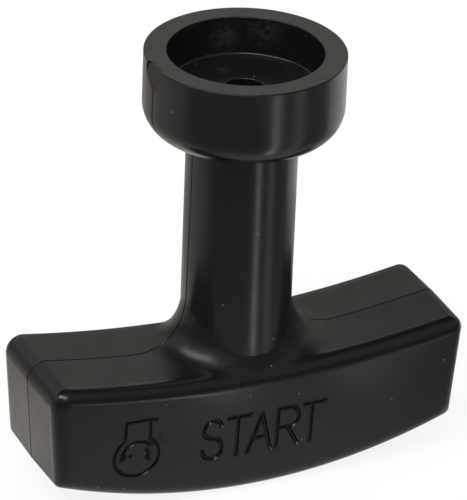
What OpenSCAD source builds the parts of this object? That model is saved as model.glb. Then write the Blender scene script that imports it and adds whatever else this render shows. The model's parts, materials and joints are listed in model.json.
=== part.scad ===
// Pull handle of a recoil starter, moulded in one piece.
// The bar lies along X, the rope runs up the stem along Z, and the mould opens along Y.

/* [Grip bar] */
// Length of the bar at its top corners
bar_len = 90; // [70:1:120]
// Height of the bar at the stem, at the parting plane
bar_h = 26.6; // [20:0.2:34]
// Depth of the bar, front face to back face
bar_depth = 28.5; // [25:0.5:36]
// Radius of the bar's hollow top
top_radius = 248; // [150:2:400]
// Radius of the bar's curved underside
base_radius = 116; // [80:2:220]
// Lean of each end face, drawn in towards the bottom
end_lean = 4; // [0:0.5:8]
// Rounding of the long edges at the front and back faces
edge_round = 3; // [1:0.1:4]
// Rounding of the upper corners at the parting plane
top_corner = 3.6; // [1:0.1:6]
// Rounding of the lower corners at the parting plane
base_corner = 1.8; // [1:0.1:6]
// Draft of every face that runs along the opening direction
draft = 1; // [0.2:0.1:3]

/* [Stem] */
// Diameter of the stem
stem_d = 22.2; // [18:0.2:24]
// Reach of the flare along the bar, from the stem's side
flare_side = 11; // [4:0.5:16]
// Reach of the flare towards the front and back faces
flare_front = 2.2; // [0.5:0.1:3]
// Height of the flare on the stem's front and back
flare_step = 2.7; // [1:0.1:5]

/* [Rope guide cup] */
// Outer diameter of the cup
cup_d = 39.9; // [32:0.2:50]
// Height of the cup
cup_h = 17; // [14:0.5:26]
// Height of the cup's flat rim above the surface that the handle stands on
rim_height = 91; // [75:1:120]
// Width of the flat rim
rim_w = 4.4; // [2:0.1:6]
// Depth of the cup's cavity
cavity_depth = 7.9; // [5:0.1:12]
// Taper of the cavity's wall
cavity_taper = 3; // [0:0.5:8]
// Rounding between the cavity's wall and floor
cavity_round = 1.2; // [0.4:0.1:2]
// Rounding of the cup's lower outer edge
cup_round = 6.2; // [2:0.1:8]
// Rounding in the corner between the cup's underside and the stem
neck_round = 1; // [0.3:0.1:2]
// Rounding of the rim's inner and outer edges
rim_round = 0.5; // [0.2:0.1:1]

/* [Rope and knot] */
// Diameter of the rope bore
rope_bore_d = 8; // [4:0.1:10]
// Diameter of the pocket for the knot
knot_pocket_d = 15; // [11:0.2:18]
// Depth of the pocket for the knot
knot_pocket_depth = 13; // [8:0.5:20]

/* [Gate mark] */
// Diameter of the trimmed gate mark beside the rim
gate_d = 5; // [2:0.1:6]
// Depth to which the gate was trimmed into the wall
gate_cut = 0.3; // [0.1:0.05:0.6]

/* [Hidden] */
$fn = 64;

stem_r = stem_d / 2;
cup_r = cup_d / 2;
cavity_r = cup_r - rim_w;
cavity_floor_r = cavity_r - cavity_depth * tan(cavity_taper);
floor_z = rim_height - cavity_depth;
cup_base_z = rim_height - cup_h;
half_len = bar_len / 2;
half_depth = bar_depth / 2;
pocket_r = knot_pocket_d / 2;

// The pocket's rim, where the handle stands: the draft lifts it above the parting plane's arc
stand_rise = min(pocket_r * tan(draft), base_radius - sqrt(pow(base_radius, 2) - pow(pocket_r, 2)));

// Centres of the two long arcs, above the bar in the parting plane
top_centre = [0, bar_h + top_radius];
base_centre = [0, base_radius];

// The end line passes the top corner and leans in towards the bottom
end_top = [half_len, bar_h + top_radius - sqrt(pow(top_radius, 2) - pow(half_len, 2))];
end_dir = [-sin(end_lean), -cos(end_lean)];
end_out = [cos(end_lean), -sin(end_lean)];
smallest_corner = 0.5;

// Inset of the outline at a distance y from the parting plane: draft, then the rounded edge
edge_start = half_depth - edge_round;
function drafted(y) = y * tan(draft);
edge_steps = 6;
half_sections = concat(
    [for (i = [0:2]) [edge_start * i / 2, drafted(edge_start * i / 2)]],
    [for (i = [1:edge_steps])
        let (a = 90 * i / edge_steps)
        [edge_start + edge_round * sin(a), drafted(edge_start) + edge_round * (1 - cos(a))]]);
last = len(half_sections) - 1;
sections = concat(
    [for (i = [last:-1:1]) [-half_sections[i][0], half_sections[i][1]]],
    half_sections);

// Centre of a corner's arc: on the line from p along d, at a distance r from c
function on_line(p, d, c, r) =
    let (b = (p - c) * d, k = (p - c) * (p - c) - r * r, s = sqrt(b * b - k))
    p + d * (abs(-b - s) < abs(-b + s) ? -b - s : -b + s);

function arc(c, r, a0, a1, n) =
    [for (i = [0:n])
        let (a = a0 + (a1 - a0) * i / n)
        c + r * [cos(a), sin(a)]];

arc_steps = 12;
corner_steps = 5;
function below(a) = [sin(a), -cos(a)];

// Right half of the outline, inset by o: hollow top, upper corner, end, lower corner, underside
function half_outline(o) =
    let (
        r1 = max(top_corner - o, smallest_corner),
        r2 = max(base_corner - o, smallest_corner),
        rt = top_radius + o,
        rb = base_radius - o,
        c1 = on_line(end_top - end_out * (o + r1), end_dir, top_centre, rt + r1),
        c2 = on_line(end_top - end_out * (o + r2) + end_dir * bar_h, end_dir, base_centre, rb - r2),
        t1 = atan2(c1[0], top_centre[1] - c1[1]),
        t2 = atan2(c2[0], base_centre[1] - c2[1]))
    concat(
        [for (i = [0:arc_steps - 1]) top_centre + rt * below(t1 * i / arc_steps)],
        arc(c1, r1, 90 + t1, -end_lean, corner_steps),
        arc(c2, r2, -end_lean, t2 - 90, corner_steps),
        [for (i = [arc_steps - 1:-1:0]) base_centre + rb * below(t2 * i / arc_steps)]);

function whole_outline(o) =
    let (h = half_outline(o), n = len(h))
    concat(h, [for (i = [n - 2:-1:1]) [-h[i][0], h[i][1]]]);

// Closed skin over rings of equal length, each ring given as a list of points
module skin(rings) {
    m = len(rings);
    n = len(rings[0]);
    polyhedron(
        points = [for (ring = rings) each ring],
        faces = concat(
            [for (i = [0:m - 2], j = [0:n - 1])
                let (a = i * n + j, b = i * n + (j + 1) % n)
                each [[a, b, b + n], [a, b + n, a + n]]],
            [[for (j = [n - 1:-1:0]) j]],
            [[for (j = [0:n - 1]) (m - 1) * n + j]]));
}

module grip_bar() {
    skin([for (s = sections) [for (p = whole_outline(s[1])) [p[0], -s[0], p[1]]]]);
}

// Height of the bar's top at (x, y), with its draft and its rounded front and back edges
function edge_drop(y) =
    y <= edge_start ? drafted(y)
    : drafted(edge_start) + edge_round - sqrt(max(0, pow(edge_round, 2) - pow(y - edge_start, 2)));
function top_z(x, y) = top_centre[1] - sqrt(pow(top_radius + edge_drop(abs(y)), 2) - x * x);

// The flare runs round the stem: side_share is 0 in front and behind, and 1 at the two sides
flare_turns = 64;
flare_steps = 7;
share_power = 1.5;
function side_share(a) = pow(abs(cos(a)), share_power);

// The foot stays on the flat top: it may use this share of the bar's rounded front and back edges
edge_share = 0.6;
straight_ahead = 0.01;
function flare_reach(a) =
    let (wanted = flare_front + (flare_side - flare_front) * pow(cos(a), 2),
         room = (edge_start + edge_round * edge_share) / max(abs(sin(a)), straight_ahead) - stem_r)
    min(wanted, room);
function flare_height(a) = flare_step + (flare_side - flare_step) * pow(side_share(a), 2);

// Quadratic curve from the stem (t = 0) to the bar's top (t = 1); its middle point slides from
// the straight chord, in front, into the corner, at the sides, where the flare is a full fillet.
// The curve starts a little inside the stem, so that the two meet in a clean line.
stem_tuck = 0.05;
corner_share = 0.12;
heel_share = 1 / 3;
function flare_point(a, t) =
    let (
        e = flare_reach(a),
        h = flare_height(a),
        foot = top_z((stem_r + e) * cos(a), (stem_r + e) * sin(a)),
        heel_r = stem_r + e * heel_share,
        heel = top_z(heel_r * cos(a), min(edge_start, abs(heel_r * sin(a)))),
        w = side_share(a),
        mid = [e / 2 * (1 - w) + e * corner_share * w, (heel + h + foot) / 2 * (1 - w) + heel * w],
        q = (1 - t) * (1 - t) * [-stem_tuck, heel + h] + 2 * t * (1 - t) * mid + t * t * [e, foot])
    [(stem_r + q[0]) * cos(a), (stem_r + q[0]) * sin(a), q[1]];

// Below the foot the flare's skin turns in and down into the bar, and above it into the stem
foot_depth = 1.5;
foot_tuck = 0.96;
shoulder_r = stem_r * 0.8;
core_r = stem_r * 0.6;
function turn(j) = 360 * j / flare_turns;
module flare() {
    around = [flare_turns - 1:-1:0];
    below = [for (j = around)
        let (p = flare_point(turn(j), 1))
        [p[0] * foot_tuck, p[1] * foot_tuck, bar_h - edge_round - foot_depth]];
    curved = [for (i = [flare_steps:-1:0]) [for (j = around) flare_point(turn(j), i / flare_steps)]];
    shoulder = [for (j = around)
        [shoulder_r * cos(turn(j)), shoulder_r * sin(turn(j)), flare_point(turn(j), 0)[2]]];
    core = [for (j = around) [core_r * cos(turn(j)), core_r * sin(turn(j)), bar_h + flare_side]];
    skin(concat([below], curved, [shoulder, core]));
}

// Stem and cup, turned about the rope's axis
module stem_and_cup() {
    wall_foot = floor_z + cavity_round;
    rotate_extrude()
        polygon(concat(
            [[0, bar_h / 2], [stem_r, bar_h / 2]],
            arc([stem_r + neck_round, cup_base_z - neck_round], neck_round, 180, 90, 4),
            arc([cup_r - cup_round, cup_base_z + cup_round], cup_round, -90, 0, 12),
            arc([cup_r - rim_round, rim_height - rim_round], rim_round, 0, 90, 3),
            arc([cavity_r + rim_round, rim_height - rim_round], rim_round, 90, 180, 3),
            arc([cavity_floor_r - cavity_round, wall_foot], cavity_round, 0, -90, 5),
            [[0, floor_z]]));
}

module rope_bore() {
    translate([0, 0, -bar_h]) cylinder(d = rope_bore_d, h = rim_height + bar_h);
}

module knot_pocket() {
    translate([0, 0, -bar_h]) cylinder(d = knot_pocket_d, h = bar_h + knot_pocket_depth);
}

// The gate stood on the cup's left side, on the parting plane, and was trimmed off flat
module gate_mark() {
    translate([-cup_r + gate_cut, 0, rim_height - rim_round - gate_d / 2])
        rotate([0, -90, 0]) cylinder(d = gate_d, h = gate_d / 2);
}

module handle() {
    color("#2b2b2d")
        translate([0, 0, -stand_rise])
            difference() {
                union() {
                    grip_bar();
                    flare();
                    stem_and_cup();
                }
                rope_bore();
                knot_pocket();
                gate_mark();
            }
}

handle();
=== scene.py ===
import json
import math

import bpy
import numpy as np
from mathutils import Matrix, Vector

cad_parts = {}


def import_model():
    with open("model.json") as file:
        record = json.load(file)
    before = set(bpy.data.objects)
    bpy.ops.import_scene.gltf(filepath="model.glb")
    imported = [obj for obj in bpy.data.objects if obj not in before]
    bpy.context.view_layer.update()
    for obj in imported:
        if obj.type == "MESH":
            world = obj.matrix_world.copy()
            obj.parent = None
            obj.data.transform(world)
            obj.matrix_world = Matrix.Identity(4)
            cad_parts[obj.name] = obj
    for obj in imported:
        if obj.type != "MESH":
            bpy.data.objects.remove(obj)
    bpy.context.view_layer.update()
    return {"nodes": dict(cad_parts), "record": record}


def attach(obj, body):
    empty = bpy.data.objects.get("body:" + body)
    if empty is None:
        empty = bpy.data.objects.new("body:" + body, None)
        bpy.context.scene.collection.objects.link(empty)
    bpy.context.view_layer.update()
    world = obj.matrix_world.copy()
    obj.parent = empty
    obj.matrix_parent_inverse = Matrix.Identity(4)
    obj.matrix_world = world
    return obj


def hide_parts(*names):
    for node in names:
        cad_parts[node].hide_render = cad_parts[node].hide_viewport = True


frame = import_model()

mounts = {m["name"]: m for m in frame["record"]["mounts"]}
millimetre = 0.001
print("frame loaded:", sorted(frame["nodes"]))


# Small helpers


def hexToLinear(code):
    # sRGB to linear light: v / 12.92 below 0.04045, else ((v + 0.055) / 1.055) ^ 2.4
    srgb = np.array([int(code[i:i + 2], 16) for i in (0, 2, 4)]) / 255
    linear = np.where(srgb <= 0.04045, srgb / 12.92, ((srgb + 0.055) / 1.055) ** 2.4)
    return (*linear.tolist(), 1.0)


def addNode(tree, kind, settings=None, **links):
    # settings are plain attributes or input values; links are input name = output socket
    made = tree.nodes.new(kind)
    for name, value in (settings or {}).items():
        if hasattr(made, name):
            setattr(made, name, value)
        else:
            made.inputs[int(name) if name.isdigit() else name].default_value = value
    for name, socket in links.items():
        key = name.replace("_", " ")
        tree.links.new(socket, made.inputs[int(key[1:]) if key[1:].isdigit() else key])
    return made


def ramp(tree, value, start, end, low, high):
    # Smooth step from low at start to high at end; low and high may be sockets
    made = addNode(tree, "ShaderNodeMapRange", {"interpolation_type": "SMOOTHSTEP", "From Min": start,
                                                "From Max": end}, Value=value)
    for name, level in (("To Min", low), ("To Max", high)):
        if isinstance(level, (int, float)):
            made.inputs[name].default_value = level
        else:
            tree.links.new(level, made.inputs[name])
    return made.outputs["Result"]


def mixColour(tree, factor, first, second):
    # Colours are hex codes or sockets
    made = addNode(tree, "ShaderNodeMix", {"data_type": "RGBA"})
    tree.links.new(factor, made.inputs[0])
    for slot, colour in ((6, first), (7, second)):
        if isinstance(colour, str):
            made.inputs[slot].default_value = hexToLinear(colour)
        else:
            tree.links.new(colour, made.inputs[slot])
    return made.outputs[2]


def unit(vectors):
    return vectors / np.maximum(np.linalg.norm(vectors, axis=-1, keepdims=True), 1e-12)


def gridNormals(points):
    # Cross product of the chords to the two neighbours along the rows and round the columns
    down = np.gradient(points, axis=0)
    down[1:-1] = points[2:] - points[:-2]
    around = np.roll(points, -1, axis=1) - np.roll(points, 1, axis=1)
    return unit(np.cross(around, down))


def closedGrid(name, points, normals, ends):
    # Rows of points closed round into rings, quads between the rings and a flat face on each end;
    # the smooth normals ride on the face corners, so that they come through the cuts
    rows, columns = points.shape[:2]
    i, j = np.meshgrid(np.arange(rows - 1), np.arange(columns), indexing="ij")
    k = (j + 1) % columns
    quads = np.stack([i * columns + j, i * columns + k, (i + 1) * columns + k, (i + 1) * columns + j], -1)
    quads = quads.reshape(-1, 4)
    first, last = np.arange(columns)[::-1], (rows - 1) * columns + np.arange(columns)
    flat = points.reshape(-1, 3)
    # The volume inside, as cones from the middle of the first end, says which way the quads face
    apex = points[0].mean(0)
    a, b, c, d = (flat[quads[:, n]] - apex for n in range(4))
    lid = points[-1] - apex
    inside = np.einsum("ij,ij->", np.cross(a, b), c) + np.einsum("ij,ij->", np.cross(a, c), d)
    inside += (np.cross(lid, np.roll(lid, -1, 0)) @ lid.mean(0)).sum()
    if inside < 0:
        quads, first, last = quads[:, ::-1], first[::-1], last[::-1]
    shading = normals.reshape(-1, 3)[quads.ravel()]
    cross = np.cross(flat[quads[:, 2]] - flat[quads[:, 0]], flat[quads[:, 3]] - flat[quads[:, 1]])
    if np.einsum("ij,ij->", cross, shading.reshape(-1, 4, 3)[:, 0]) < 0:
        shading = -shading
    capShading = np.repeat(np.array(ends, float), columns, axis=0)
    mesh = bpy.data.meshes.new(name)
    mesh.from_pydata(flat.tolist(), [], quads.tolist() + [first.tolist(), last.tolist()])
    carried = mesh.attributes.new("smoothNormal", "FLOAT_VECTOR", "CORNER")
    carried.data.foreach_set("vector", np.concatenate([shading, capShading]).astype(np.float32).ravel())
    made = bpy.data.objects.new(name, mesh)
    bpy.context.scene.collection.objects.link(made)
    return made


def combine(body, other, operation):
    # Joins or cuts with the other closed form, which is used up
    step = body.modifiers.new("step", "BOOLEAN")
    step.operation, step.object, step.solver = operation, other, "EXACT"
    made = bpy.data.meshes.new_from_object(body.evaluated_get(bpy.context.evaluated_depsgraph_get()))
    body.modifiers.clear()
    body.data = made
    bpy.data.objects.remove(other)


# The grip bar

bar = {
    "height": 26.6, "depth": 28.5, "topRadius": 248, "baseRadius": 121,
    "halfLength": {"left": 45.1, "right": 45.4}, "endLean": {"left": 4, "right": 5.2},
    "topCorner": {"left": 3.8, "right": 2.6},
    "edgeRound": 3, "baseCorner": 0.9, "baseCornerGrowth": 0.75, "smallestCorner": 0.5, "draft": 1,
    "seamHalfWidth": 0.2, "seamDepth": 0.26,
}
bar["halfDepth"] = bar["depth"] / 2
bar["edgeStart"] = bar["halfDepth"] - bar["edgeRound"]
draftSlope = math.tan(math.radians(bar["draft"]))
pocketR = mounts["knot_pocket"]["dims"]["r_mm"]
baseSag = bar["baseRadius"] - math.sqrt(bar["baseRadius"] ** 2 - pocketR ** 2)
standRise = min(pocketR * draftSlope, baseSag)


def seamGroove(y):
    # The parting line is a raised cosine groove: depth * (1 + cos(pi s)) / 2, where s is the distance
    # from the line in half widths
    s = y / bar["seamHalfWidth"]
    return np.where(np.abs(s) < 1, bar["seamDepth"] * (1 + np.cos(np.pi * s)) / 2, 0)


def barSections():
    # Insets over the depth: draft from the middle out, then a quarter round to the face
    e, r, w = bar["edgeStart"], bar["edgeRound"], bar["seamHalfWidth"]
    turn = np.radians(np.linspace(0, 90, 13)[1:])
    flat = np.concatenate([np.linspace(-e, e, 15), w * np.linspace(-1, 1, 9)])
    flat = np.unique(np.round(flat, 6))
    y = np.concatenate([(-e - r * np.sin(turn))[::-1], flat, e + r * np.sin(turn)])
    edge = e * draftSlope + r * (1 - np.cos(turn))
    inset = np.concatenate([edge[::-1], np.abs(flat) * draftSlope, edge])
    s = flat / w
    wave = np.where(np.abs(s) < 1, -np.sin(np.pi * s) * np.pi / 2 / w * bar["seamDepth"], 0)
    tilt = np.arctan(np.sign(flat) * draftSlope + wave)
    turn = np.maximum(turn, math.radians(bar["draft"]))
    return y, inset + seamGroove(y), np.concatenate([-turn[::-1], tilt, turn])


def onLine(p, d, c, r):
    # Where the line from p along d is at the distance r from c, the nearer of the two places
    b = ((p - c) * d).sum(-1)
    s = np.sqrt(b * b - ((p - c) ** 2).sum(-1) + r * r)
    t = np.where(np.abs(-b - s) < np.abs(-b + s), -b - s, -b + s)
    return p + t[..., None] * d


def arc(centre, radius, start, end, count):
    # Circle arc for every section at once: centre + radius * (cos a, sin a)
    share = np.linspace(0, 1, count)
    a = start[:, None] + (end - start)[:, None] * share
    out = np.stack([np.cos(a), np.sin(a)], -1)
    return centre[:, None, :] + radius[:, None, None] * out, out


def halfOutline(inset, side):
    # From the top's middle to the base's middle: hollow top arc, upper corner arc, leaning end line,
    # lower corner arc and base arc, all tangent, drawn towards the right
    lean, half, ones = math.radians(bar["endLean"][side]), bar["halfLength"][side], np.ones(len(inset))
    topCentre = np.array([0, bar["height"] + bar["topRadius"]])
    baseCentre = np.array([0, bar["baseRadius"]])
    endTop = np.array([half, topCentre[1] - math.sqrt(bar["topRadius"] ** 2 - half ** 2)])
    endDir, endOut = np.array([-math.sin(lean), -math.cos(lean)]), np.array([math.cos(lean), -math.sin(lean)])
    r1 = np.maximum(bar["topCorner"][side] - inset, bar["smallestCorner"])
    r2 = bar["baseCorner"] + bar["baseCornerGrowth"] * inset
    rt, rb = bar["topRadius"] + inset, bar["baseRadius"] - inset
    c1 = onLine(endTop - endOut * (inset + r1)[:, None], endDir, topCentre, rt + r1)
    c2 = onLine(endTop - endOut * (inset + r2)[:, None] + endDir * bar["height"], endDir, baseCentre, rb - r2)
    t1 = np.arctan2(c1[:, 0], topCentre[1] - c1[:, 1])
    t2 = np.arctan2(c2[:, 0], baseCentre[1] - c2[:, 1])
    down = -np.pi / 2 * ones
    top, topOut = arc(topCentre + 0 * c1, rt, down, down + t1, 56)
    upper, upperOut = arc(c1, r1, np.pi / 2 + t1, -lean * ones, 13)
    lower, lowerOut = arc(c2, r2, -lean * ones, t2 - np.pi / 2, 11)
    base, baseOut = arc(baseCentre + 0 * c2, rb, t2 - np.pi / 2, down, 44)
    share = np.linspace(0, 1, 10)[1:-1, None]
    end = upper[:, -1:] * (1 - share) + lower[:, :1] * share
    endOuts = np.broadcast_to(endOut, end.shape)
    path = np.concatenate([top[:, :-1], upper, end, lower, base[:, 1:]], 1)
    outs = np.concatenate([-topOut[:, :-1], upperOut, endOuts, lowerOut, baseOut[:, 1:]], 1)
    return path, outs


def barOutline(inset):
    # The left half is drawn as a right one and mirrored; its upper corner is the rounder of the two
    (right, rightOuts), (left, leftOuts) = halfOutline(inset, "right"), halfOutline(inset, "left")
    mirror = np.array([-1, 1])
    return (np.concatenate([right, left[:, -2:0:-1] * mirror], 1),
            np.concatenate([rightOuts, leftOuts[:, -2:0:-1] * mirror], 1))


def gripBar():
    # Point (x, y, z) of section y and outline place (x, z); its normal turns from the outline's
    # normal towards y by the section's tilt
    y, inset, tilt = barSections()
    outline, outward = barOutline(inset)
    place = np.stack([outline[..., 0], y[:, None] + 0 * outline[..., 0], outline[..., 1]], -1)
    c, s = np.cos(tilt)[:, None], np.sin(tilt)[:, None]
    normal = np.stack([outward[..., 0] * c, s + 0 * outward[..., 0], outward[..., 1] * c], -1)
    return closedGrid("gripBar", place, normal, [(0, -1, 0), (0, 1, 0)])


# The flare, the stem and the rope guide cup, carried round the rope's axis

neck = {
    "stemR": 11.1, "flareSide": 11, "flareFront": 2.2, "flareStep": 2.7,
    "sharePower": 1.5, "edgeShare": 0.6, "cornerShare": 0.12, "heelShare": 1 / 3,
    "turns": 240, "flareRows": 22, "footSunk": 0.03, "footDepth": 4.5, "footTuck": 0.96,
}
cup = {
    "outerR": 19.95, "height": 17, "rimHeight": 91, "rimWidth": 4.55,
    "cavityDepth": 7.9, "cavityTaper": 3, "cavityRound": 0.7,
    "lowerRound": 6.2, "neckRound": 1, "rimRound": 0.25,
    "seamAt": -0.9, "seamFrom": 28, "seamTo": 60,
}


def topHeight(x, y):
    # The bar's top: hollow arc along x, dropped by the draft and the rounded edge along y
    beyond = np.clip(np.abs(y) - bar["edgeStart"], 0, bar["edgeRound"])
    drop = np.minimum(np.abs(y), bar["edgeStart"]) * draftSlope
    drop = drop + bar["edgeRound"] - np.sqrt(bar["edgeRound"] ** 2 - beyond ** 2)
    radius = bar["topRadius"]
    return bar["height"] + radius - np.sqrt((radius + drop) ** 2 - x ** 2)


def flareRows(a, t):
    # Quadratic curve from the stem (t = 0) to the bar's top (t = 1) in each direction a; its middle
    # point slides from the chord, in front, into the corner, at the sides
    cosA, sinA = np.cos(a), np.sin(a)
    r = neck["stemR"]
    w = np.abs(cosA) ** neck["sharePower"]
    wanted = neck["flareFront"] + (neck["flareSide"] - neck["flareFront"]) * cosA ** 2
    room = (bar["edgeStart"] + bar["edgeRound"] * neck["edgeShare"]) / np.maximum(np.abs(sinA), 0.01) - r
    reach = np.minimum(wanted, room)
    height = neck["flareStep"] + (neck["flareSide"] - neck["flareStep"]) * w ** 2
    foot = topHeight((r + reach) * cosA, (r + reach) * sinA)
    heelR = r + reach * neck["heelShare"]
    heel = topHeight(heelR * cosA, np.minimum(bar["edgeStart"], np.abs(heelR * sinA)))
    midR = reach / 2 * (1 - w) + reach * neck["cornerShare"] * w
    midZ = (heel + height + foot) / 2 * (1 - w) + heel * w
    t = t[:, None]
    radius = r + 2 * t * (1 - t) * midR + t * t * reach
    z = (1 - t) ** 2 * (heel + height) + 2 * t * (1 - t) * midZ + t * t * (foot - neck["footSunk"])
    return radius, z


def turnedRows(profile, a):
    # Rows of one radius and height each, the same in every direction
    profile = np.array(profile, float)
    ones = np.ones(len(a))
    return profile[:, :1] * ones, profile[:, 1:] * ones


def bend(r, z, radius, start, end, count):
    # Arc of the turned profile: (r, z) + radius * (cos, sin)
    angle = np.radians(np.linspace(start, end, count))
    return np.stack([r + radius * np.cos(angle), z + radius * np.sin(angle)], -1).tolist()


def stemAndCup():
    # Columns stand closer where the parting line runs: in the middle on the flare, and from there up
    # the stem it wanders to the front
    even = np.linspace(0, 2 * np.pi, neck["turns"], endpoint=False)
    near = np.arange(-0.03, 0.105, 0.004)
    a = np.unique(np.round(np.concatenate([even, -near % (2 * np.pi), np.pi + near]), 9))
    r, base = neck["stemR"], cup["rimHeight"] - cup["height"]
    outer, rim = cup["outerR"], cup["rimHeight"]
    inner = outer - cup["rimWidth"]
    floorZ = rim - cup["cavityDepth"]
    floorR = inner - cup["cavityDepth"] * math.tan(math.radians(cup["cavityTaper"]))
    flareR, flareZ = flareRows(a, np.linspace(1, 0, neck["flareRows"] + 1))
    footR, footZ = flareR[:1] * neck["footTuck"], np.full((1, len(a)), bar["height"] - neck["footDepth"])
    stemTop = base - cup["neckRound"]
    rise = np.linspace(0, 1, 14)[1:-1, None]
    stemR, stemZ = np.full((12, len(a)), r), flareZ[-1:] * (1 - rise) + stemTop * rise
    rr, cc = cup["rimRound"], cup["cavityRound"]
    profile = (
        bend(r + cup["neckRound"], stemTop, cup["neckRound"], 180, 90, 9)
        + bend(outer - cup["lowerRound"], base + cup["lowerRound"], cup["lowerRound"], -90, 0, 19)
        + [[outer, base + cup["lowerRound"] + s * (cup["height"] - cup["lowerRound"] - rr)] for s in (0.25, 0.5, 0.75)]
        + bend(outer - rr, rim - rr, rr, 0, 90, 7)
        + [[outer - cup["rimWidth"] / 2, rim]]
        + bend(inner + rr, rim - rr, rr, 90, 180, 7)
        + [[inner + (floorR - inner) * s, rim - rr + (floorZ + cc - rim + rr) * s] for s in (0.33, 0.66)]
        + bend(floorR - cc, floorZ + cc, cc, 0, -90, 9)
        + [[floorR * s, floorZ] for s in (0.75, 0.5, 0.1)])
    turnR, turnZ = turnedRows(profile, a)
    radius = np.concatenate([footR, flareR, stemR, turnR])
    z = np.concatenate([footZ, flareZ, stemZ, turnZ])
    place = np.stack([radius * np.cos(a), radius * np.sin(a), z], -1)
    normal = gridNormals(place)
    outside = (np.cumsum(z >= rim - rr, axis=0) < 1)[..., None]
    if normal[30, 0, 0] < 0:
        normal = -normal
    wander = cup["seamAt"] * np.clip((z - cup["seamFrom"]) / (cup["seamTo"] - cup["seamFrom"]), 0, 1)
    place = place - normal * (seamGroove(place[..., 1] - wander)[..., None] * outside)
    # The ring that is sunk into the bar stays out of the normals
    shown = gridNormals(place[1:])
    if shown[30, 0, 0] < 0:
        shown = -shown
    # At the sides the flare runs out smoothly: its normals turn into those of the bar's top
    x, y = place[1:, :, 0], place[1:, :, 1]
    slopeX = (topHeight(x + 0.01, y) - topHeight(x - 0.01, y)) / 0.02
    slopeY = (topHeight(x, y + 0.01) - topHeight(x, y - 0.01)) / 0.02
    top = unit(np.stack([-slopeX, -slopeY, 1 + 0 * x], -1))
    t = np.clip((np.linspace(1, 0, neck["flareRows"] + 1) - 0.45) / 0.55, 0, 1)
    share = np.zeros(len(shown))
    share[:len(t)] = t * t * (3 - 2 * t)
    k = (share[:, None] * np.abs(np.cos(a)) ** 0.7)[..., None]
    shown = unit(shown * (1 - k) + top * k)
    return closedGrid("stemAndCup", place, np.concatenate([shown[:1], shown]), [(0, 0, -1), (0, 0, 1)])


# The rope's way through, cut with one turned form

rope = {
    "boreR": mounts["rope_bore"]["dims"]["r_mm"], "pocketR": pocketR,
    "pocketRoof": 13, "mouthRound": 0.3, "turns": 96,
}


def ropeWay():
    # Knot pocket from below, a step in to the bore, and a rounded mouth in the cup's floor
    a = np.linspace(0, 2 * np.pi, rope["turns"], endpoint=False)
    floorZ = cup["rimHeight"] - cup["cavityDepth"]
    b, p, m = rope["boreR"], rope["pocketR"], rope["mouthRound"]
    profile = (
        [[p, -20], [p, 2], [p, 7]] + bend(p - 0.4, rope["pocketRoof"] - 0.4, 0.4, 0, 90, 5)
        + [[b + 1.5, rope["pocketRoof"]]]
        + bend(b + 0.4, rope["pocketRoof"] + 0.4, 0.4, -90, -180, 5)
        + [[b, 30], [b, 50], [b, 70]] + bend(b + m, floorZ - m, m, 180, 100, 8) + [[b + m + 1, floorZ + 2]])
    radius, z = turnedRows(profile, a)
    place = np.stack([radius * np.cos(a), radius * np.sin(a), z], -1)
    made = closedGrid("ropeWay", place, gridNormals(place), [(0, 0, -1), (0, 0, 1)])
    return turnInward(made)


def turnInward(cutter):
    # What the cutter leaves behind faces the other way
    carried = cutter.data.attributes["smoothNormal"]
    values = np.zeros(len(carried.data) * 3, np.float32)
    carried.data.foreach_get("vector", values)
    carried.data.foreach_set("vector", -values)
    return cutter


# The gate, trimmed off beside the rim with a knife held a little aslant

gate = {"diameter": 6.4, "cut": 0.6, "turns": 48, "edge": 0.12, "lean": 12, "swing": 6, "below": 1.9, "aside": -0.4}


def gateCutter():
    # A disc that leans in towards the rim and swings a little to the front, its edge slightly broken
    a = np.linspace(0, 2 * np.pi, gate["turns"], endpoint=False)
    r, lean, swing = gate["diameter"] / 2, math.radians(gate["lean"]), math.radians(gate["swing"])
    out = np.array([-math.cos(lean) * math.cos(swing), -math.cos(lean) * math.sin(swing), math.sin(lean)])
    side = np.array([math.sin(swing), -math.cos(swing), 0])
    middle = np.array([-cup["outerR"] + gate["cut"], gate["aside"], cup["rimHeight"] - gate["below"]])
    steps = np.array([[r - gate["edge"], 0], [r, gate["edge"]], [r + 0.3, 2.5]])
    ring = np.cos(a)[:, None] * side + np.sin(a)[:, None] * np.cross(out, side)
    place = middle + steps[:, :1, None] * ring + steps[:, 1:, None] * out
    return turnInward(closedGrid("gateCutter", place, gridNormals(place), [-out, out]))


# The engraved signs on the front face

signs = {
    "depth": 0.6, "signDepth": 0.5, "markDepth": 0.2, "lip": 0.2, "above": 0.4,
    "letterHalfWidth": 0.4, "signHalfWidth": 0.27, "markHalfWidth": 0.2,
    "baseline": 8.9, "capLine": 17.45, "lean": 0.03, "middle": 13.2,
}


def curve(centre, radii, start, end, count=25):
    # Ellipse arc: centre + radii * (cos, sin)
    a = np.radians(np.linspace(start, end, count))
    return np.stack([centre[0] + radii[0] * np.cos(a), centre[1] + radii[1] * np.sin(a)], -1)


def line(*points):
    return np.array(points, float)


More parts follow.
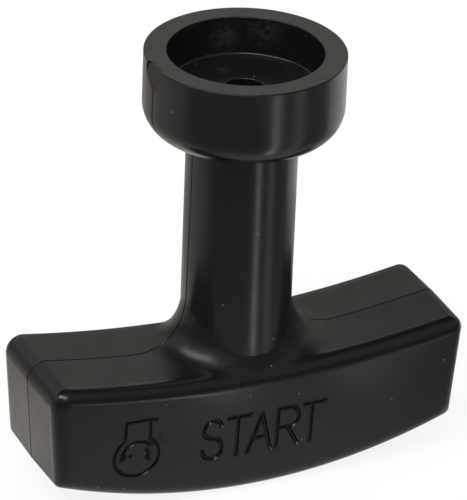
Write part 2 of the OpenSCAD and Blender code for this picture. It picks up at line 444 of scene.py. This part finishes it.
def strokeCutter(path, halfWidth, depth):
    # Groove with a broken edge and steep, slightly hollow sides along a path: at each level the path's
    # outline at the distance h; the ends are squared by a superellipse
    step = np.gradient(path, axis=0)
    along = unit(step)
    side = np.stack([-along[:, 1], along[:, 0]], -1)
    turn = np.radians(np.linspace(-80, 80, 7))
    endSide = np.sign(np.sin(turn)) * np.abs(np.sin(turn)) ** 0.5
    endAlong = np.abs(np.cos(turn)) ** 0.5
    lip = signs["lip"]
    levels = [(halfWidth + signs["above"] + lip, -signs["above"]), (halfWidth + 0.45 * lip, 0.3 * lip)]
    levels += [(halfWidth * h, lip + (depth - lip) * d) for h, d in ((1, 0), (0.8, 0.3), (0.56, 0.65), (0.2, 1))]
    rings = []
    for h, d in levels:
        front = path[-1] - endSide[:, None] * side[-1] * h + endAlong[:, None] * along[-1] * h
        back = path[0] + endSide[:, None] * side[0] * h - endAlong[:, None] * along[0] * h
        rings.append(np.concatenate([path + side * h, front, (path - side * h)[::-1], back]))
    rings = np.array(rings)
    y = -bar["halfDepth"] + np.array([d for _, d in levels])[:, None] + 0 * rings[..., 0]
    place = np.stack([rings[..., 0], y, rings[..., 1] + standRise], -1)
    return turnInward(closedGrid("stroke", place, gridNormals(place), [(0, -1, 0), (0, 1, 0)]))


def signStrokes():
    # Letters and sign as paths on the face, in millimetres from the rope's axis and the ground
    low, high = signs["baseline"], signs["capLine"]
    letters = [
        np.concatenate([curve((-10.6, 15.6), (1.95, 2.0), 15, 268), curve((-10.6, 11.3), (2.1, 2.3), 88, -175)[1:]]),
        line((-7.1, high), (-2.3, high)), line((-5.1, high), (-5.1, low)),
        line((-2.8, low), (0.1, high)), line((0.1, high), (2.3, low)), line((-1.9, 12.0), (1.5, 12.0)),
        line((3.7, high), (3.6, low)),
        np.concatenate([line((3.7, high)), curve((6.3, 15.3), (1.95, high - 15.3), 90, -90), line((3.7, 13.15))]),
        line((5.9, 13.1), (8.2, low)),
        line((9.5, high), (13.9, high)), line((11.15, high), (11.05, low)),
    ]
    leaned = [p + np.stack([(p[:, 1] - signs["middle"]) * signs["lean"], 0 * p[:, 1]], -1) for p in letters]
    sign = [
        line((-29.2, 20.8), (-23.6, 20.8), (-22.9, 20.4)),
        line((-29.3, 20.6), (-29.5, 17.1)), line((-24.1, 20.6), (-24.1, 16.9)),
        curve((-27.0, 12.95), (4.8, 4.4), 124, 414, 49),
        curve((-26.7, 12.6), (3.6, 3.55), 178, 38, 29),
        line((-30.2, 12.5), (-29.5, 13.4)),
        line((-24.8, 14.1), (-24.3, 13.2)), line((-24.3, 13.2), (-24.9, 12.5)), line((-24.9, 12.5), (-24.1, 11.5)),
        line((-28.3, 13.1), (-28.2, 13.1)),
    ]
    mark = curve((-27.0, 12.95), (6.2, 5.8), 42, 18, 9)
    return (
        [(p, signs["letterHalfWidth"], signs["depth"]) for p in leaned]
        + [(p, signs["signHalfWidth"], signs["signDepth"]) for p in sign]
        + [(mark, signs["markHalfWidth"], signs["markDepth"])])


def settled(mesh, shading):
    # A corner whose carried normal leans more than about 50 degrees from its face takes the face's own
    sizes, flat = np.zeros(len(mesh.polygons), np.int32), np.zeros(len(mesh.polygons) * 3, np.float32)
    mesh.polygons.foreach_get("loop_total", sizes)
    mesh.polygons.foreach_get("normal", flat)
    own = np.repeat(flat.reshape(-1, 3), sizes, axis=0)
    far = np.einsum("ij,ij->i", own, shading) < 0.65
    print("corners settled on their face:", int(far.sum()), "of", len(far))
    return np.where(far[:, None], own, shading)


def buildHandle():
    body = gripBar()
    combine(body, stemAndCup(), "UNION")
    print("bar, flare, stem and cup joined:", len(body.data.polygons), "faces")
    combine(body, ropeWay(), "DIFFERENCE")
    combine(body, gateCutter(), "DIFFERENCE")
    for path, halfWidth, depth in signStrokes():
        combine(body, strokeCutter(path, halfWidth, depth), "DIFFERENCE")
    print("bore, pocket, gate and signs cut:", len(body.data.polygons), "faces")
    mesh = body.data
    mesh.transform(Matrix.Translation((0, 0, -standRise * millimetre)) @ Matrix.Scale(millimetre, 4))
    shading = np.zeros(len(mesh.loops) * 3, np.float32)
    mesh.attributes["smoothNormal"].data.foreach_get("vector", shading)
    mesh.attributes.remove(mesh.attributes["smoothNormal"])
    mesh.polygons.foreach_set("use_smooth", np.ones(len(mesh.polygons), bool))
    mesh.normals_split_custom_set(settled(mesh, unit(shading.reshape(-1, 3))).tolist())
    body.name = mesh.name = "mouldedHandle"
    return body


# Black plastic

plastic = {
    "colour": "0f0f10", "dust": "74716a", "dustMm": 0.13, "dustApartMm": 4.3, "scuff": "2b2a27", "roughness": 0.23, "matt": 0.12, "grainMm": 0.42,
    "grainDepthMm": 0.014, "wavesMm": 6.0, "ior": 1.5,
}


# Rubbed patches: place and size in millimetres; on the cup's wall and floor, under it and on its front
rubbed = [
    ((2.5, 15.3, 86.8), 5.0), ((9.6, 12.2, 88.3), 5.5), ((-0.7, 8.2, 82.9), 2.2),
    ((-0.9, -11.1, 70.4), 0.7), ((2.4, -10.8, 69.6), 0.6), ((-3.9, -19.6, 85.4), 0.8),
]


def rubbedShare(tree, place):
    # Each patch is a ball that fades out, broken up by one noise
    noise = addNode(tree, "ShaderNodeTexNoise", {"Scale": 1 / (1.1 * millimetre), "Detail": 4.0}, Vector=place)
    broken = ramp(tree, noise.outputs["Fac"], 0.3, 0.75, 0, 1)
    total = broken
    for number, (middle, size) in enumerate(rubbed):
        away = addNode(tree, "ShaderNodeVectorMath", {"operation": "DISTANCE",
                                                      "1": [v * millimetre for v in middle]}, _0=place)
        ball = ramp(tree, away.outputs["Value"], 0, size * millimetre, 1, 0)
        joined = addNode(tree, "ShaderNodeMath", {"operation": "MAXIMUM"}, _0=ball)
        if number:
            tree.links.new(total, joined.inputs[1])
        else:
            joined.inputs[1].default_value = 0
        total = joined.outputs[0]
    return addNode(tree, "ShaderNodeMath", {"operation": "MULTIPLY"}, _0=total, _1=broken).outputs[0]


def blackNylon():
    # Glass-filled nylon, injection moulded in a finely spark-eroded tool: near black, satin, with a
    # grain of about 0.2 mm that breaks up the reflections, and slow waves where the walls sank
    made = bpy.data.materials.new("blackMouldedNylon")
    made.use_nodes = True
    tree = made.node_tree
    tree.nodes.clear()
    place = addNode(tree, "ShaderNodeTexCoord").outputs["Object"]
    grain = addNode(tree, "ShaderNodeTexNoise", {"Scale": 1 / (plastic["grainMm"] * millimetre), "Detail": 3.0,
                                                 "Roughness": 0.6}, Vector=place)
    waves = addNode(tree, "ShaderNodeTexNoise", {"Scale": 1 / (plastic["wavesMm"] * millimetre), "Detail": 4.0},
                    Vector=place)
    rough = addNode(tree, "ShaderNodeMapRange", {"From Min": 0.3, "From Max": 0.7,
                                                 "To Min": plastic["roughness"] - 0.03,
                                                 "To Max": plastic["roughness"] + 0.04},
                    Value=waves.outputs["Fac"])
    # The bar's top and ends are a little more matt than its rounded edges, its faces and the stem
    where = addNode(tree, "ShaderNodeSeparateXYZ", {}, Vector=place)
    depth = addNode(tree, "ShaderNodeMath", {"operation": "ABSOLUTE"}, _0=where.outputs["Y"])
    inside = ramp(tree, depth.outputs[0], 0.0104, 0.0114, plastic["matt"], 0)
    low = ramp(tree, where.outputs["Z"], 0.029, 0.033, inside, 0)
    total = addNode(tree, "ShaderNodeMath", {"operation": "ADD"}, _0=rough.outputs["Result"], _1=low)
    bump = addNode(tree, "ShaderNodeBump", {"Strength": 1.0, "Distance": plastic["grainDepthMm"] * millimetre},
                   Height=grain.outputs["Fac"])
    # Dust: a grain here and there, one to a cell
    cells = addNode(tree, "ShaderNodeTexVoronoi", {"Scale": 1 / (plastic["dustApartMm"] * millimetre)}, Vector=place)
    near = plastic["dustMm"] / plastic["dustApartMm"]
    dust = ramp(tree, cells.outputs["Distance"], 0.8 * near, 1.2 * near, 1, 0)
    worn = mixColour(tree, rubbedShare(tree, place), plastic["colour"], plastic["scuff"])
    colour = mixColour(tree, dust, worn, plastic["dust"])
    shader = addNode(tree, "ShaderNodeBsdfPrincipled", {"IOR": plastic["ior"]}, Base_Color=colour,
                     Roughness=total.outputs[0], Normal=bump.outputs["Normal"])
    addNode(tree, "ShaderNodeOutputMaterial", {}, Surface=shader.outputs["BSDF"])
    return made


# Floor, light and camera

studio = {
    "floorSize": 1.6, "floorColour": "f4f4f4", "whiteShare": 0.87,
    "keyEnergy": 5.0, "keySize": 0.6, "fillEnergy": 4.0, "worldLevel": 0.6,
    "sheetFront": 0.54, "sheetBack": 1.25, "sheetTurnY": 0.0, "sheetTurnWidth": 0.06,
    "sheetNear": 0.03, "sheetEdge": 0.1, "beyondSheet": 0.4, "warm": "fff9ef", "cool": "f6f8ff",
    "skyBackLow": 0.24, "skyBack": 0.72, "skyBackHigh": 0.03, "skyFront": 0.08, "skyTop": 0.24,
    "strips": [(11, 6, 3.9, 0.056, 0.085), (11, 6, 2.7, 0.085, 0.4), (38, 12, 0.8, 0.056, 0.4),
               (110, 56, 0.9, 0.125, 0.4)],
    "tubeFrom": (-0.66, 0.2, 0.77), "tubeTo": (-0.13, -0.61, 0.83), "tubeWidth": 0.15, "tubeEnergy": 3.3,
}


def floor():
    # Plain white sheet: the camera sees it almost white with a soft shadow, and in the plastic's gloss
    # it is white behind the handle and falls off to dark in front, as on a lit table
    half = studio["floorSize"] / 2
    mesh = bpy.data.meshes.new("floor")
    mesh.from_pydata([(-half, -half, 0), (half, -half, 0), (half, half, 0), (-half, half, 0)], [], [(0, 1, 2, 3)])
    made = bpy.data.objects.new("floor", mesh)
    bpy.context.scene.collection.objects.link(made)
    paper = bpy.data.materials.new("whitePaper")
    paper.use_nodes = True
    tree = paper.node_tree
    tree.nodes.clear()
    rays = addNode(tree, "ShaderNodeLightPath").outputs
    sheet = addNode(tree, "ShaderNodeBsdfDiffuse", {"Color": hexToLinear(studio["floorColour"])})
    white = addNode(tree, "ShaderNodeEmission", {"Strength": 1.0})
    toCamera = addNode(tree, "ShaderNodeMath", {"operation": "MULTIPLY", "1": studio["whiteShare"]},
                       _0=rays["Is Camera Ray"])
    seen = addNode(tree, "ShaderNodeMixShader", {}, Fac=toCamera.outputs[0], _1=sheet.outputs[0],
                   _2=white.outputs[0])
    place = addNode(tree, "ShaderNodeTexCoord").outputs["Object"]
    where = addNode(tree, "ShaderNodeSeparateXYZ", {}, Vector=place)
    away = addNode(tree, "ShaderNodeVectorMath", {"operation": "LENGTH"}, Vector=place)
    side = ramp(tree, where.outputs["Y"], studio["sheetTurnY"] - studio["sheetTurnWidth"] / 2,
                studio["sheetTurnY"] + studio["sheetTurnWidth"] / 2, studio["sheetFront"], studio["sheetBack"])
    fall = ramp(tree, away.outputs["Value"], studio["sheetNear"], studio["sheetEdge"], 1, studio["beyondSheet"])
    level = addNode(tree, "ShaderNodeMath", {"operation": "MULTIPLY"}, _0=side, _1=fall)
    warmth = ramp(tree, where.outputs["Y"], -0.03, 0.03, 0, 1)
    tint = mixColour(tree, warmth, studio["cool"], studio["warm"])
    mirrored = addNode(tree, "ShaderNodeEmission", {}, Color=tint, Strength=level.outputs[0])
    both = addNode(tree, "ShaderNodeMixShader", {}, Fac=rays["Is Glossy Ray"], _1=seen.outputs[0],
                   _2=mirrored.outputs[0])
    addNode(tree, "ShaderNodeOutputMaterial", {}, Surface=both.outputs[0])
    mesh.materials.append(paper)


def lightStrips():
    # Narrow reflectors that lie on the table in front and show only in the gloss
    for number, (azimuth, width, strength, near, far) in enumerate(studio["strips"]):
        a, h = math.radians(azimuth), math.radians(width / 2)
        turns = np.linspace(-1, 1, 9)
        corners = [(d * math.sin(a + s * h), -d * math.cos(a + s * h), 0.0004)
                   for d, shares in ((near, turns), (far, turns[::-1])) for s in shares]
        mesh = bpy.data.meshes.new(f"lightStrip{number}")
        mesh.from_pydata(corners, [], [tuple(range(len(corners)))])
        made = bpy.data.objects.new(mesh.name, mesh)
        bpy.context.scene.collection.objects.link(made)
        made.visible_camera = made.visible_diffuse = made.visible_shadow = False
        glow = bpy.data.materials.new(mesh.name)
        glow.use_nodes = True
        glow.node_tree.nodes.clear()
        light = addNode(glow.node_tree, "ShaderNodeEmission", {"Strength": strength})
        addNode(glow.node_tree, "ShaderNodeOutputMaterial", {}, Surface=light.outputs[0])
        mesh.materials.append(glow)


def world():
    # White to the camera and plain grey in the light; in the gloss a pale wall low down at the back,
    # dark above it, and a dim room in front
    made = bpy.data.worlds.new("studio")
    bpy.context.scene.world = made
    made.use_nodes = True
    tree = made.node_tree
    tree.nodes.clear()
    rays = addNode(tree, "ShaderNodeLightPath").outputs
    way = addNode(tree, "ShaderNodeSeparateXYZ", {}, Vector=addNode(tree, "ShaderNodeTexCoord").outputs["Generated"])
    wall = ramp(tree, way.outputs["Z"], 0.3, 0.46, studio["skyBackLow"], studio["skyBack"])
    back = ramp(tree, way.outputs["Z"], 0.57, 0.7, wall, studio["skyBackHigh"])
    front = ramp(tree, way.outputs["Z"], 0.3, 0.7, studio["skyFront"], studio["skyTop"])
    mirrored = ramp(tree, way.outputs["Y"], -0.2, 0.2, front, back)
    unseen = ramp(tree, rays["Is Glossy Ray"], 0, 1, studio["worldLevel"], mirrored)
    level = ramp(tree, rays["Is Camera Ray"], 0, 1, unseen, 1)
    warmth = addNode(tree, "ShaderNodeMath", {"operation": "MULTIPLY"}, _0=rays["Is Glossy Ray"],
                     _1=ramp(tree, way.outputs["Y"], -0.2, 0.2, 0, 1))
    tint = mixColour(tree, warmth.outputs[0], "ffffff", studio["warm"])
    shader = addNode(tree, "ShaderNodeBackground", {}, Color=tint, Strength=level)
    addNode(tree, "ShaderNodeOutputWorld", {}, Surface=shader.outputs[0])


def softBox(name, place, aim, size, energy):
    lamp = bpy.data.lights.new(name, "AREA")
    lamp.shape, lamp.size, lamp.energy = "SQUARE", size, energy
    made = bpy.data.objects.new(name, lamp)
    bpy.context.scene.collection.objects.link(made)
    made.location = place
    made.rotation_euler = (Vector(aim) - Vector(place)).to_track_quat("-Z", "Y").to_euler()
    return made


def lights():
    key = softBox("keyBox", (-0.7, -0.5, 1.0), (0, 0, 0.04), studio["keySize"], studio["keyEnergy"])
    fill = softBox("fillBox", (0.5, -0.8, 0.9), (0, 0, 0.04), studio["keySize"], studio["fillEnergy"])
    key.visible_glossy = fill.visible_glossy = False
    # A tube across the ceiling, which gives the short bright lines on the flare and the corner
    start, end = Vector(studio["tubeFrom"]), Vector(studio["tubeTo"])
    middle = (start + end) / 2
    tube = softBox("tube", middle, (0, 0, 0.04), studio["keySize"], studio["tubeEnergy"])
    tube.data.shape, tube.data.size, tube.data.size_y = "RECTANGLE", (end - start).length, studio["tubeWidth"]
    back, along = (middle - Vector((0, 0, 0.04))).normalized(), (end - start).normalized()
    across = back.cross(along).normalized()
    along = across.cross(back)
    tube.matrix_world = Matrix(((along.x, across.x, back.x, middle.x), (along.y, across.y, back.y, middle.y),
                                (along.z, across.z, back.z, middle.z), (0, 0, 0, 1)))


lens = {
    "azimuth": -25.278, "elevation": 28.027, "distance": 0.9439, "aimHeight": 0.04392, "roll": 2.306,
    "focalPixels": 4745.5, "imageWidth": 467, "imageHeight": 500, "aimPixel": (237.3, 263.7),
}


def camera():
    # Looks at the stem from the front left and above; the aim point falls on aimPixel of the image
    a, e, r = (math.radians(lens[k]) for k in ("azimuth", "elevation", "roll"))
    back = Vector((math.sin(a) * math.cos(e), -math.cos(a) * math.cos(e), math.sin(e)))
    level = Vector((math.cos(a), math.sin(a), 0))
    upright = back.cross(level)
    right = level * math.cos(r) + upright * math.sin(r)
    up = upright * math.cos(r) - level * math.sin(r)
    offX = (lens["aimPixel"][0] - lens["imageWidth"] / 2) / lens["focalPixels"]
    offY = (lens["aimPixel"][1] - lens["imageHeight"] / 2) / lens["focalPixels"]
    place = Vector((0, 0, lens["aimHeight"])) + back * lens["distance"]
    back = (back + right * offX - up * offY).normalized()
    right = (right - back * right.dot(back)).normalized()
    up = back.cross(right)
    data = bpy.data.cameras.new("camera")
    data.sensor_width = 36
    data.lens = lens["focalPixels"] * data.sensor_width / lens["imageHeight"]
    data.clip_start, data.clip_end = 0.05, 20
    made = bpy.data.objects.new("camera", data)
    bpy.context.scene.collection.objects.link(made)
    made.matrix_world = Matrix(((right.x, up.x, back.x, place.x), (right.y, up.y, back.y, place.y),
                                (right.z, up.z, back.z, place.z), (0, 0, 0, 1)))
    bpy.context.scene.camera = made


camera()
floor()
lightStrips()
world()
lights()
print("camera, floor and lights set")

handle = buildHandle()
handle.data.materials.clear()
handle.data.materials.append(blackNylon())
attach(handle, "root")
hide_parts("handle")
print("handle dressed")

bpy.context.scene.view_settings.view_transform = "Standard"
bpy.context.view_layer.update()
